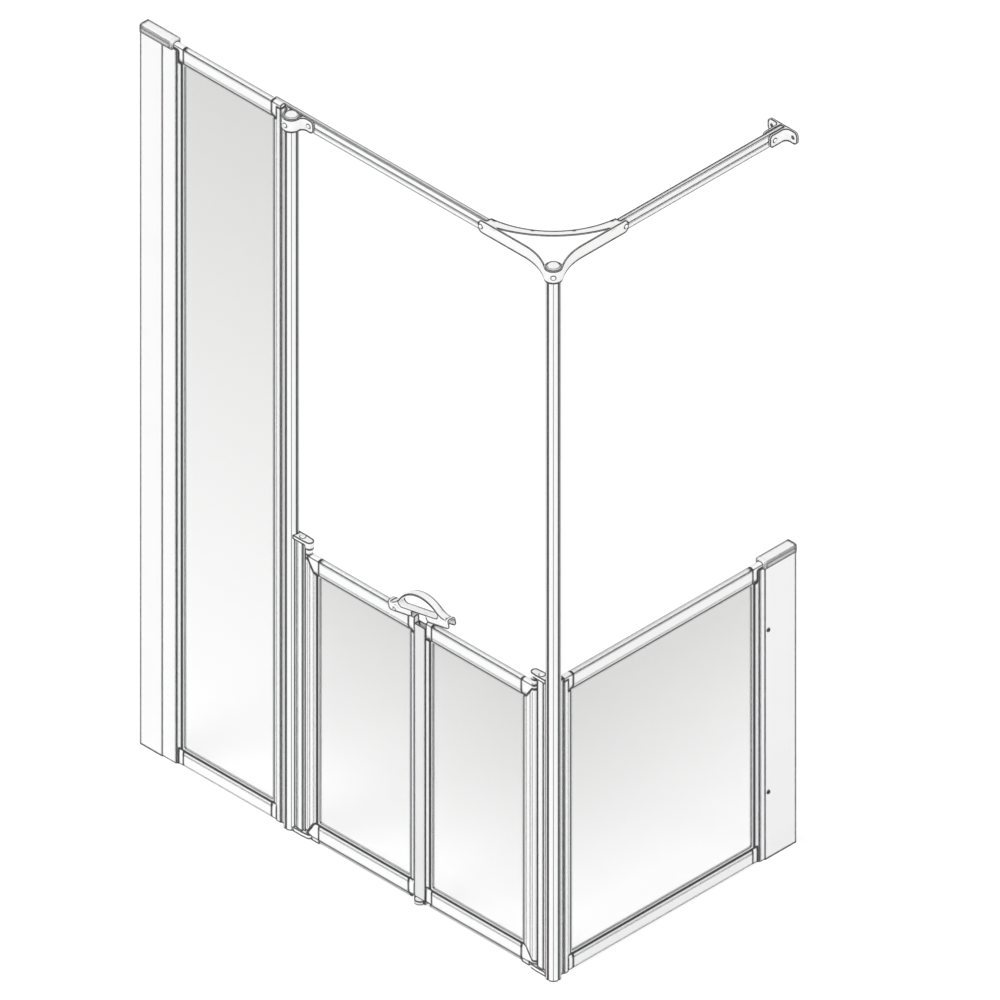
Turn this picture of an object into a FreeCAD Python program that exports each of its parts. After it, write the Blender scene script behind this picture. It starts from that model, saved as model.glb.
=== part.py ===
import FreeCAD, Part
import math
import os

# Half-height carer shower screen: an L-shaped enclosure for a corner tray.
# Millimetres, +Z up. The origin is at the foot of the corner post, on its axis. The front leg
# runs along -X to the left wall, the side leg along +Y to the other wall. Outside is -Y and +X.

# Layout in plan
DOORWAY = 760.0            # corner post axis to mid post axis
TALL_RUN = 427.0           # mid post axis to the left wall
SIDE_RUN = 692.0           # corner post axis to the side wall

# Heights
TALL_H = 1800.0            # flat top edge of the tall panel
LOW_H = 741.0              # flat top edge of the side panel
DOOR_H = 710.0             # flat top edge of the doors
DOOR_LIFT = 11.5           # underside of the doors above the tray
POST_DROP = 14.0           # posts end below the tall panel's top edge

# Posts
POST_R = 16.0
POST_BORE_R = 13.0
GROOVE_W = 4.4
GROOVE_D = 1.5
POST_CAP_H = 4.0
POST_CAP_ROUND = 1.8
POST_CAP_PLUG = 10.0
FOOT_PLUG_H = 10.0

# Frame extrusion shared by rails and stiles
FRAME_T = 15.0
FACE = 27.5                # flat face of a rail
LIP_W = 10.5               # bevelled lip towards the glass
LIP_DROP = 2.5             # how far the lip falls back
DOME = 3.0                 # rise of the rounded outer edge
FRAME_WALL = 1.8

# Glazing
GLASS_T = 4.0
GASKET_T = 2.0             # gasket on each face of the glass
POCKET = 9.0               # depth of the glazing pocket behind the lip
GLASS_EDGE_GAP = 1.0
GASKET_SHOW = 4.4

# Fixed panels
INTERLOCK_L = 8.0          # strip between a post and its panel
INTERLOCK_W = 10.0
POST_STILE_FACE = 12.5
WALL_LIP = 117.0           # wall to the wall stile's lip
WALL_STILE_FACE = 3.5
TONGUE_T = 20.0
TONGUE_END = 35.0          # wall to the end of the adjusting tongue

# Corner caps
CAP_LAP = 3.4              # cap reaches this far past the lip along the rail
CAP_STRIP = 6.5            # depth of the strip over a stile
CAP_ROUND = 3.0
HINGE_STRIP = 8.0
HINGE_SHOULDER = 2.0       # level part of the hinge cap past the pivot axis
HINGE_CAP_RISE = 4.0       # how far the sloped edge stops short of the lip
SPIGOT_L = 25.0
SPIGOT_FIT = 0.2

# Wall channels
CHANNEL_WALL = 2.3
CHANNEL_FIT = 0.2
CHANNEL_LONG = 90.5
CHANNEL_SHORT = 64.5
CHANNEL_RISE = 5.5         # channel above the panel's flat top edge
WALL_HOLE_R = 2.5
WALL_HOLE_END = 150.0      # end wall screws from the panel's top edge and from the tray
WALL_CAP_ROOF = 4.0
WALL_CAP_SKIRT = 20.0
WALL_CAP_WALL = 1.3
WALL_CAP_LAP = 2.5         # cap past the long flange
WALL_CAP_ROUND = 5.0
LOCK_SCREW_IN = 9.5        # locking screws from the long flange's edge
LOCK_SCREW_END = 167.0     # locking screws from the panel's top edge and from the tray

# Doors
PIVOT = 52.5               # post axis to the pivot axis
HINGE_FACE = 19.5          # pivot axis to the hinge stile's crease
MEET_FACE = 3.1
MEETING_W = 31.6           # meeting seal between the leaves
MEETING_GAP = 1.2
MEETING_WALL = 2.0
MEETING_TOP_DROP = 13.0    # meeting seal stops below the doors' top edge
FLOOR_GAP = 1.0            # sweep seals clear the tray
SWEEP_T = 13.0
SWEEP_STEP = 4.0
BLADE_T = 5.0
SWEEP_END = 11.6           # sweep seal stops short of the free edge
GUARD_GAP = 1.8            # skirt of the lower hinge cap clears the pivot bracket
FOOT_R = 11.5
FOOT_LIFT = 3.0

# Jambs and pivots
JAMB_T = 16.4
JAMB_NECK_T = 14.0
JAMB_NECK_L = 6.0          # narrow neck at the post
JAMB_RISE = 24.5           # jambs above the doors' top edge
JAMB_SEAT_R = 14.6
JAMB_CHAMBER_L = 6.0
HINGE_SEAL_T = 8.0
HINGE_SEAL_GAP = 0.5
BRACKET_T = 21.0
BRACKET_H = 9.5
BRACKET_LAP = 3.0          # brackets reach back beside the post
BRACKET_FOOT_H = 11.0
BRACKET_SCREW = 33.0       # post axis to the bracket screw
BRACKET_SCREW_R = 5.8
BOSS_R = 9.65
BOSS_DROP = 8.5
PIN_R = 4.0
PIN_FIT = 0.05
PIN_DEEP = 20.0            # pin reach into the leaf
PIN_SEAT = 8.0             # pin reach into a bracket
BUSH_R = 7.3
BUSH_STEM_R = 5.6
BUSH_GAP = 0.4

# Latch handle, drawn latched and then lifted about its pin
HANDLE_L = 179.5
HANDLE_SHIFT = 1.55        # handle's middle from the meeting line, away from its pin
HANDLE_H = 58.0            # crown of the strap above the skirt's lower edge
HANDLE_ROUND = 8.0
STRAP_T = 5.0
STRAP_SOFT = 2.2
STRAP_INSET = 0.5
SHOULDER_L = 35.75         # hollow shoulder from the strap's crown to the handle's end
STRAP_ROOT_Z = 34.3
OPENING_PAST = 3.5         # finger opening's reach past the strap's root
OPENING_LEAN = 10.0        # how far its sill stops short of its widest place
OPENING_RISE = 9.5
RIM_L = 9.0
RIM_H = 23.0
RIM_ROUND = 6.0
SADDLE_FIT = 0.5
SADDLE_WALL = 3.0
SADDLE_ROOM = 0.6          # free height over the doors' domed top when latched
END_ROOM = 5.0             # more free height at the open end
TAIL_ROOM = 4.3            # more free height at the pinned end, for the tilt
END_TUNNEL = 62.0          # half width of the low part of the tunnel
SILL_T = 2.7
SKIRT = 10.0               # skirt hangs below the doors' top edge
NOTCH_TOP = 21.0           # half widths of the notch at its top and foot
NOTCH_FOOT = 31.0
NOTCH_FLARE = 8.0
HANDLE_PIN_END = 16.2      # pin from the end of the handle
HANDLE_PIN_DROP = 5.0
HANDLE_PIN_R = 2.5
HANDLE_PIN_RECESS = 0.4
HANDLE_LIFT = 11.4

# Curtain rails and their brackets
RAIL_GAP = 1.5             # posts to the rails' outer face
RAIL_T = 10.5
RAIL_H = 31.0
RAIL_STEP = 14.0           # height of the curtain track
RAIL_WALL = 1.6
TRACK_SLOT = 3.6
RAIL_RIB = 0.8
RAIL_OVERHANG = 70.0       # front rail past the mid post
COLLAR_WALL = 3.5
COLLAR_FIT = 0.05
ARM_T = 3.5
ARM_END = 212.0            # post axis to the end of an arm
ARM_SWEEP = 95.0           # where an arm starts to sweep into the collar
ARM_STOP = 15.0            # end stop for a rail
BRACE_T = 3.5
BRACE_FAR = 32.0           # brace's far corner from the leg's axis
BRACE_FAR_MID = 90.2
BRACE_NEAR = 181.0         # where the brace's near edge meets an arm
BRACE_NEAR_MID = 78.6
HOOK_HOLE_R = 1.5
HOOK_HOLE_IN = 2.5
HOOK_PITCH = 24.0          # degrees between curtain hook holes
LUG_T = 6.5
LUG_L = 18.0               # lug past the end of an arm
LUG_ROUND = 12.0
LUG_SCREW = 10.0           # lug screw past the end of an arm
EAR_T = 5.0
EAR_L = 50.0
EAR_SCREW = 37.0
EAR_BLEND = 12.0
EAR_ROUND = 10.0
WALL_PLATE_W = 85.0
WALL_PLATE_T = 5.5
WALL_PLATE_HOLES = 61.0
WALL_PLATE_HOLE_R = 2.75
WALL_PLATE_ROUND = 10.0
CHEEK_T = 6.0
CHEEK_L = 51.0
CHEEK_BLEND = 11.0
CHEEK_ROUND = 8.0
CHEEK_SCREW = 38.0
RAIL_SIDE_FIT = 0.2

# Screws
SCREW_HEAD_R = 4.5
SCREW_HEAD_H = 2.4
SCREW_R = 2.0
SCREW_L = 9.0
SCREW_SOCKET_R = 1.6
SCREW_SOCKET_D = 1.3

# Worked-out places
HALF_T = FRAME_T / 2
LIP_T = HALF_T - LIP_DROP
RAIL_D = FACE + LIP_W
SLOT = GLASS_T / 2 + GASKET_T
MID_POST = -DOORWAY
POST_H = TALL_H - POST_DROP
STILE_GAP = POST_R + INTERLOCK_L
CHANNEL_IN = TONGUE_T / 2 + CHANNEL_FIT
CHANNEL_OUT = CHANNEL_IN + CHANNEL_WALL
LEAF_END = (DOORWAY - MEETING_W - MEETING_GAP) / 2
MEETING_X = MID_POST + LEAF_END
JAMB_TOP = DOOR_H + JAMB_RISE
HANDLE_MID = MID_POST / 2 + HANDLE_SHIFT
HANDLE_PIN_X = HANDLE_MID - HANDLE_L / 2 + HANDLE_PIN_END
HANDLE_PIN_Z = DOOR_H - HANDLE_PIN_DROP
STRAP_ROOT = HANDLE_L / 2 - SHOULDER_L
OPENING_SPAN = STRAP_ROOT + OPENING_PAST
OPENING_SILL = OPENING_SPAN - OPENING_LEAN
SADDLE_IN = HALF_T + SADDLE_FIT
SADDLE_OUT = SADDLE_IN + SADDLE_WALL
SADDLE_CEILING = SKIRT + DOME + SADDLE_ROOM
SILL_Z = SADDLE_CEILING + SILL_T
RAIL_FRONT = POST_R + RAIL_GAP
RAIL_MID = RAIL_FRONT + RAIL_T / 2
RAIL_TOP = POST_H
RAIL_BOTTOM = RAIL_TOP - RAIL_H
RAIL_Z = (RAIL_TOP + RAIL_BOTTOM) / 2
ARM_FRONT = RAIL_FRONT - LUG_T
ARM_BACK = ARM_FRONT + ARM_T
COLLAR_R = POST_R + COLLAR_WALL
FAR = 4 * FRAME_T          # well clear of any frame piece

UP = FreeCAD.Vector(0, 0, 1)
ORIGIN = FreeCAD.Vector(0, 0, 0)
ACROSS = {"plan": FreeCAD.Vector(0, 0, 1), "front": FreeCAD.Vector(0, 1, 0),
          "end": FreeCAD.Vector(1, 0, 0)}
TOUCH = 1e-6
BEVEL = math.sqrt(0.5)


# Drawing helpers

def lift(plane, spot):
    """Put a sketch point in space: plan is XY, front is XZ, end is YZ."""
    u, v = spot
    if plane == "plan":
        return FreeCAD.Vector(u, v, 0)
    if plane == "front":
        return FreeCAD.Vector(u, 0, v)
    return FreeCAD.Vector(0, u, v)


def outline(plane, steps):
    """Closed wire through corners, where a pair of corners is an arc via the first to the second."""
    edges = []
    here = lift(plane, steps[0])
    for step in list(steps[1:]) + [steps[0]]:
        if isinstance(step[0], tuple):
            to = lift(plane, step[1])
            edges.append(Part.Arc(here, lift(plane, step[0]), to).toShape())
        else:
            to = lift(plane, step)
            if here.distanceToPoint(to) < TOUCH:
                continue
            edges.append(Part.makeLine(here, to))
        here = to
    return Part.Wire(edges)


def extrude(plane, steps, low, high):
    """Solid of an outline, from low to high along the sketch's normal."""
    face = Part.Face(outline(plane, steps))
    face.translate(ACROSS[plane] * low)
    return face.extrude(ACROSS[plane] * (high - low))


def revolve(steps):
    """Solid of a half outline (radius, height) turned about the Z axis."""
    return Part.Face(outline("front", steps)).revolve(ORIGIN, UP, 360)


def block(low, high):
    """Box between two corners."""
    size = [b - a for a, b in zip(low, high)]
    return Part.makeBox(*size, FreeCAD.Vector(*low))


def rod(radius, start, end):
    """Cylinder between two points."""
    start = FreeCAD.Vector(*start)
    way = FreeCAD.Vector(*end) - start
    return Part.makeCylinder(radius, way.Length, start, way)


def fuse(first, *others):
    """One solid from pieces that touch or overlap."""
    return first.multiFuse(list(others)).removeSplitter()


def group(solids):
    """Several separate solids kept as one piece."""
    return Part.makeCompound(solids)


def corner_arc(corner, start, end):
    """Quarter-round step from start to end, bulging towards the corner."""
    via = tuple(c - (c - (a + b) / 2) * 2 * (1 - BEVEL) for c, a, b in zip(corner, start, end))
    return (via, end)


def tangent_arc(centre, start, end):
    """Step along the short arc about a centre."""
    mid = [(a + b) / 2 - c for a, b, c in zip(start, end, centre)]
    radius = math.dist(centre, start)
    reach = math.hypot(*mid)
    via = tuple(c + m * radius / reach for c, m in zip(centre, mid))
    return (via, end)


def soft_box(left, right, low, high, soft):
    """Rectangle outline with rounded corners."""
    return [(left + soft, low), (right - soft, low),
            corner_arc((right, low), (right - soft, low), (right, low + soft)), (right, high - soft),
            corner_arc((right, high), (right, high - soft), (right - soft, high)), (left + soft, high),
            corner_arc((left, high), (left + soft, high), (left, high - soft)), (left, low + soft),
            corner_arc((left, low), (left, low + soft), (left + soft, low))]


# Places of the sub-assemblies: each is drawn with its post axis at the origin and runs along +X

def on_front_leg(shape):
    return shape.rotated(ORIGIN, UP, 180).translated(FreeCAD.Vector(MID_POST, 0, 0))


def on_side_leg(shape):
    return shape.rotated(ORIGIN, UP, 90)


def on_left_leaf(shape):
    return shape.translated(FreeCAD.Vector(MID_POST, 0, 0))


def on_right_leaf(shape):
    return shape.rotated(ORIGIN, UP, 180)


# Screws

def screw(spot, way, head_r=SCREW_HEAD_R):
    """Pan head screw: spot is under its head, way is the direction of its shank."""
    rim = SCREW_HEAD_H / 3
    dome = rim + (SCREW_HEAD_H - rim) * BEVEL
    head = revolve([(0, 0), (head_r, 0), (head_r, rim), ((head_r * BEVEL, dome), (0, SCREW_HEAD_H))])
    socket = rod(SCREW_SOCKET_R, (0, 0, SCREW_HEAD_H - SCREW_SOCKET_D), (0, 0, SCREW_HEAD_H))
    shank = rod(SCREW_R, (0, 0, -SCREW_L), (0, 0, 0))
    body = fuse(head, shank).cut(socket)
    turn = FreeCAD.Rotation(FreeCAD.Vector(0, 0, -1), FreeCAD.Vector(*way))
    body.Placement = FreeCAD.Placement(FreeCAD.Vector(*spot), turn)
    return body


def drilled(shape, screws):
    """Take the screws' own space out of a piece."""
    for each in screws:
        shape = shape.cut(each)
    return shape


# Frame pieces

def rail_section(edge, way, domed):
    """Rail outline across its length: edge is its flat outer edge, way is +1 for a top rail."""
    def at(across, depth):
        return (across, edge - way * depth)
    crown = (at(0, -DOME), at(HALF_T, 0)) if domed else at(HALF_T, 0)
    return [at(-HALF_T, 0), crown, at(HALF_T, FACE), at(LIP_T, RAIL_D), at(-LIP_T, RAIL_D),
            at(-HALF_T, FACE)]


def rail_chamber(start, stop, edge, way, fit):
    """Hollow inside a rail, or the spigot that fills it with a fit."""
    side = HALF_T - FRAME_WALL - fit
    ends = (edge - way * (FRAME_WALL + fit), edge - way * (RAIL_D - POCKET - FRAME_WALL - fit))
    return block((min(start, stop), -side, min(ends)), (max(start, stop), side, max(ends)))


def make_rail(start, stop, edge, way, domed, pocket):
    body = extrude("end", rail_section(edge, way, domed), start, stop)
    return body.cut(rail_chamber(start, stop, edge, way, 0)).cut(pocket)


def lip_steps(lip, turn):
    """Plan corners of a stile's bevelled lip: turn is +1 where the glass is towards +X."""
    crease = lip - turn * LIP_W
    return [(crease, -HALF_T), (lip, -LIP_T), (lip, LIP_T), (crease, HALF_T)]


def glazing(lips, sill, head):
    """Pocket space, glass and gasket for the sight opening between two lips."""
    left, right = lips
    pocket = block((left - POCKET, -SLOT, sill - POCKET), (right + POCKET, SLOT, head + POCKET))
    cover = POCKET - GLASS_EDGE_GAP
    half = GLASS_T / 2
    glass = block((left - cover, -half, sill - cover), (right + cover, half, head + cover))
    show = GASKET_SHOW
    sight = block((left + show, -FAR, sill + show), (right - show, FAR, head - show))
    return pocket, glass, pocket.cut(sight).cut(glass)


def tab_cap_steps(outer, crease, lip, turn, strip):
    """Front outline, as (along, depth), of a cap with a strip over the stile and a tab on the rail."""
    inner = lip + turn * CAP_LAP
    above = -2 * DOME
    low = (crease + turn * CAP_ROUND, RAIL_D)
    side = (crease, RAIL_D - CAP_ROUND)
    return [(outer, above), (inner, above), (inner, RAIL_D), low,
            corner_arc((crease, RAIL_D), low, side), (crease, strip), (outer, strip)]


def hinge_cap_steps(outer, crease, lip):
    """Front outline, as (along, depth), of a hinge-side cap with its sloped edge."""
    inner = lip + CAP_LAP
    above = -2 * DOME
    return [(outer, above), (inner, above), (inner, RAIL_D), (lip, RAIL_D),
            (crease, RAIL_D - HINGE_CAP_RISE), (PIVOT + HINGE_SHOULDER, HINGE_STRIP),
            (outer, HINGE_STRIP)]


def at_height(steps, edge, way):
    """Turn (along, depth) corners into (along, height) for a top or bottom edge."""
    def flip(spot):
        return (spot[0], edge - way * spot[1])
    return [tuple(flip(p) for p in s) if isinstance(s[0], tuple) else flip(s) for s in steps]


def make_cap(steps, edge, way, domed, pocket, turn):
    """Moulded corner cap with its spigot, and the space it takes out of the stile."""
    spots = at_height(steps, edge, way)
    space = extrude("front", spots, -FAR, FAR)
    ends = [s[0] for s in steps if not isinstance(s[0], tuple)]
    body = extrude("end", rail_section(edge, way, domed), min(ends), max(ends))
    inner = max(ends) if turn > 0 else min(ends)
    spigot = rail_chamber(inner, inner + turn * SPIGOT_L, edge, way, SPIGOT_FIT)
    return fuse(body.common(space).cut(pocket), spigot), space


# Fixed panels

def fixed_panel(run, height):
    """Glazed panel standing on the tray, drawn from its post towards its wall."""
    lips = (STILE_GAP + POST_STILE_FACE + LIP_W, run - WALL_LIP)
    foot = DOME
    pocket, glass, gasket = glazing(lips, foot + RAIL_D, height - RAIL_D)
    crease = (lips[0] - LIP_W, lips[1] + LIP_W)
    tongue = (crease[1] + WALL_STILE_FACE, run - TONGUE_END)
    thick = TONGUE_T / 2

    plan = [(STILE_GAP, -HALF_T)] + lip_steps(lips[0], 1) + [(STILE_GAP, HALF_T)]
    post_stile = extrude("plan", plan, 0, height).cut(block(
        (STILE_GAP + FRAME_WALL, FRAME_WALL - HALF_T, 0),
        (lips[0] - POCKET - FRAME_WALL, HALF_T - FRAME_WALL, height)))
    plan = lip_steps(lips[1], -1) + [
        (tongue[0], HALF_T), (tongue[0], thick), (tongue[1], thick),
        (tongue[1], -thick), (tongue[0], -thick), (tongue[0], -HALF_T)]
    wall_stile = extrude("plan", plan, 0, height).cut(block(
        (tongue[0] + FRAME_WALL, FRAME_WALL - thick, 0),
        (tongue[1] - FRAME_WALL, thick - FRAME_WALL, height)))

    # The upper caps reach out over the stiles; the lower ones are tabs only
    caps = []
    rails = []
    for edge, way, ends in ((height, 1, (STILE_GAP, tongue[1])), (foot, -1, crease)):
        near, near_space = make_cap(tab_cap_steps(ends[0], crease[0], lips[0], 1, CAP_STRIP),
                                    edge, way, True, pocket, 1)
        far, far_space = make_cap(tab_cap_steps(ends[1], crease[1], lips[1], -1, CAP_STRIP),
                                  edge, way, True, pocket, -1)
        caps += [near, far]
        post_stile = post_stile.cut(near_space)
        wall_stile = wall_stile.cut(far_space)
        rails.append(make_rail(lips[0] + CAP_LAP, lips[1] - CAP_LAP, edge, way, True, pocket))
    return {"post_stile": post_stile.cut(pocket), "wall_stile": wall_stile.cut(pocket),
            "top_rail": rails[0], "bottom_rail": rails[1], "corner_caps": group(caps),
            "glass": glass, "glazing_gasket": gasket}


def wall_channel(run, height, holes):
    """Asymmetric U channel on the wall at a distance from the post: its long flange is on -Y."""
    body = extrude("plan", [
        (run, -CHANNEL_OUT), (run, CHANNEL_OUT), (run - CHANNEL_SHORT, CHANNEL_OUT),
        (run - CHANNEL_SHORT, CHANNEL_IN), (run - CHANNEL_WALL, CHANNEL_IN),
        (run - CHANNEL_WALL, -CHANNEL_IN), (run - CHANNEL_LONG, -CHANNEL_IN),
        (run - CHANNEL_LONG, -CHANNEL_OUT)], 0, height + CHANNEL_RISE)
    for z in holes:
        body = body.cut(rod(WALL_HOLE_R, (run - 2 * CHANNEL_WALL, 0, z), (run + CHANNEL_WALL, 0, z)))
    return body


def wall_cap(run, height):
    """Moulded cap over a wall channel, arched where the panel passes under its end."""
    seat = height + CHANNEL_RISE
    top = seat + WALL_CAP_ROOF
    low = top - WALL_CAP_SKIRT
    inside = CHANNEL_OUT + CHANNEL_FIT
    half = inside + WALL_CAP_WALL
    shoulder = top - WALL_CAP_ROUND
    flat = half - WALL_CAP_ROUND
    end = run - CHANNEL_LONG - WALL_CAP_LAP
    section = [(-half, low), (-half, shoulder),
               corner_arc((-half, top), (-half, shoulder), (-flat, top)), (flat, top),
               corner_arc((half, top), (flat, top), (half, shoulder)), (half, low)]
    body = extrude("end", section, end, run)
    rim = [e for e in body.Edges if e.BoundBox.XMax < end + TOUCH and e.BoundBox.ZMin > low + TOUCH]
    body = body.makeFillet(WALL_CAP_ROUND / 2, rim)
    body = body.cut(block((run - CHANNEL_LONG - CHANNEL_FIT, -inside, low), (run, inside, seat)))
    stile = TONGUE_T / 2 + CHANNEL_FIT
    strip = HALF_T + CHANNEL_FIT
    step = height - CAP_STRIP + CHANNEL_FIT
    arch = [(-stile, low), (-stile, step), (-strip, step), (-strip, height),
            ((0, height + DOME + CHANNEL_FIT), (strip, height)), (strip, step), (stile, step), (stile, low)]
    return body.cut(extrude("end", arch, end - 1, run - CHANNEL_LONG))


def lock_screws(run, heights):
    """Screws through a long flange into the tongue."""
    x = run - CHANNEL_LONG + LOCK_SCREW_IN
    return [screw((x, -CHANNEL_OUT, z), (0, 1, 0)) for z in heights]


# Posts, interlocks and jambs

def make_post():
    body = rod(POST_R, (0, 0, 0), (0, 0, POST_H)).cut(rod(POST_BORE_R, (0, 0, 0), (0, 0, POST_H)))
    groove = block((POST_R - GROOVE_D, -GROOVE_W / 2, 0), (2 * POST_R, GROOVE_W / 2, POST_H))
    for quarter in range(4):
        body = body.cut(groove.rotated(ORIGIN, UP, 90 * quarter))
    return body


def make_post_cap():
    """Button cap with a plug in the post's bore."""
    top = POST_H + POST_CAP_H
    plug = POST_BORE_R - SPIGOT_FIT
    edge = POST_R - POST_CAP_ROUND
    low = POST_H - POST_CAP_PLUG
    return revolve([(0, low), (plug, low), (plug, POST_H), (POST_R, POST_H),
                    (POST_R, top - POST_CAP_ROUND),
                    corner_arc((POST_R, top), (POST_R, top - POST_CAP_ROUND), (edge, top)), (0, top)])


def make_foot_plug():
    """Solid plug that closes the foot of a post."""
    return rod(POST_BORE_R, (0, 0, 0), (0, 0, FOOT_PLUG_H))


def groove_tongue(end, height, low=0):
    """Tongue that sits in a post's groove, from the groove out to an end."""
    half = GROOVE_W / 2 - SPIGOT_FIT
    return block((POST_R - GROOVE_D + SPIGOT_FIT, -half, low), (end, half, height))


def against_post(shape, height):
    """Take the round post out of a piece that is fixed to it."""
    return shape.cut(rod(POST_R, (0, 0, 0), (0, 0, height)))


def make_interlock(height):
    half = INTERLOCK_W / 2
    body = against_post(block((0, -half, 0), (STILE_GAP, half, height)), height)
    return fuse(body, groove_tongue(STILE_GAP, height))


def make_jamb():
    """Hinge jamb with a narrow neck at the post and a hollowed seat for the leaf's nose."""
    neck_end = POST_R + JAMB_NECK_L
    neck = block((0, -JAMB_NECK_T / 2, BRACKET_FOOT_H), (neck_end, JAMB_NECK_T / 2, JAMB_TOP))
    body = block((neck_end, -JAMB_T / 2, BRACKET_FOOT_H), (PIVOT, JAMB_T / 2, JAMB_TOP))
    body = body.cut(rod(JAMB_SEAT_R, (PIVOT, 0, 0), (PIVOT, 0, JAMB_TOP)))
    side = JAMB_NECK_T / 2 - FRAME_WALL
    chamber = block((neck_end - FRAME_WALL, -side, 0),
                    (neck_end - FRAME_WALL + JAMB_CHAMBER_L, side, JAMB_TOP))
    body = against_post(fuse(neck, body), JAMB_TOP).cut(chamber)
    return fuse(body, groove_tongue(POST_R + FRAME_WALL, JAMB_TOP, BRACKET_FOOT_H))


def make_hinge_seal(jamb):
    half = HINGE_SEAL_T / 2
    end = PIVOT - HALF_T - HINGE_SEAL_GAP
    strip = block((PIVOT - JAMB_SEAT_R, -half, BRACKET_FOOT_H), (end, half, JAMB_TOP)).cut(jamb)
    boss_low = JAMB_TOP - BOSS_DROP - HINGE_SEAL_GAP
    return strip.cut(rod(BOSS_R + HINGE_SEAL_GAP, (PIVOT, 0, boss_low), (PIVOT, 0, JAMB_TOP)))


# Pivots

def bracket_steps():
    """Plan outline of a pivot bracket: square at the post, round about the pivot."""
    half = BRACKET_T / 2
    start = POST_R - BRACKET_LAP
    neck = PIVOT - BOSS_R / 2
    return [(start, -half), (PIVOT - BOSS_R, -half), (neck, -BOSS_R), (PIVOT, -BOSS_R),
            ((PIVOT + BOSS_R, 0), (PIVOT, BOSS_R)), (neck, BOSS_R), (PIVOT - BOSS_R, half),
            (start, half)]


def pivot_set():
    """Top and bottom brackets, pins, bushes and bracket screws about one pivot axis."""
    top = JAMB_TOP + BRACKET_H
    boss_low = JAMB_TOP - BOSS_DROP
    upper = extrude("plan", bracket_steps(), JAMB_TOP, top)
    upper = fuse(upper, rod(BOSS_R, (PIVOT, 0, boss_low), (PIVOT, 0, top)))
    lower = extrude("plan", bracket_steps(), 0, BRACKET_FOOT_H)
    upper = against_post(upper, top)
    lower = against_post(lower, top)

    pins = [rod(PIN_R, (PIVOT, 0, DOOR_H - PIN_DEEP), (PIVOT, 0, boss_low + PIN_SEAT)),
            rod(PIN_R, (PIVOT, 0, BRACKET_FOOT_H - PIN_SEAT), (PIVOT, 0, DOOR_LIFT + PIN_DEEP))]
    screws = [screw((BRACKET_SCREW, 0, top), (0, 0, -1), BRACKET_SCREW_R)]
    upper = drilled(upper, [pins[0]] + screws)
    lower = lower.cut(pins[1])

    stem_low = DOOR_H - PIN_DEEP - BUSH_GAP
    stem_high = DOOR_LIFT + PIN_DEEP + BUSH_GAP
    bush_top = fuse(rod(BUSH_STEM_R, (PIVOT, 0, stem_low), (PIVOT, 0, DOOR_H)),
                    rod(BUSH_R, (PIVOT, 0, DOOR_H), (PIVOT, 0, boss_low - BUSH_GAP)))
    bush_low = rod(BUSH_STEM_R, (PIVOT, 0, DOOR_LIFT), (PIVOT, 0, stem_high))
    bores = [rod(PIN_R + PIN_FIT, (PIVOT, 0, stem_low + BUSH_GAP / 2), (PIVOT, 0, boss_low)),
             rod(PIN_R + PIN_FIT, (PIVOT, 0, 0), (PIVOT, 0, stem_high - BUSH_GAP / 2))]
    bushes = [bush_top.cut(bores[0]), bush_low.cut(bores[1])]
    return upper, lower, pins, bushes, screws


# Door leaves

def sweep_steps():
    """Section of the seal under a leaf, tapering to a blade."""
    half = SWEEP_T / 2
    blade = BLADE_T / 2
    step = FLOOR_GAP + SWEEP_STEP
    return [(-half, DOOR_LIFT), (-half, step), (-blade, FLOOR_GAP), (blade, FLOOR_GAP), (half, step),
            (half, DOOR_LIFT)]


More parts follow.
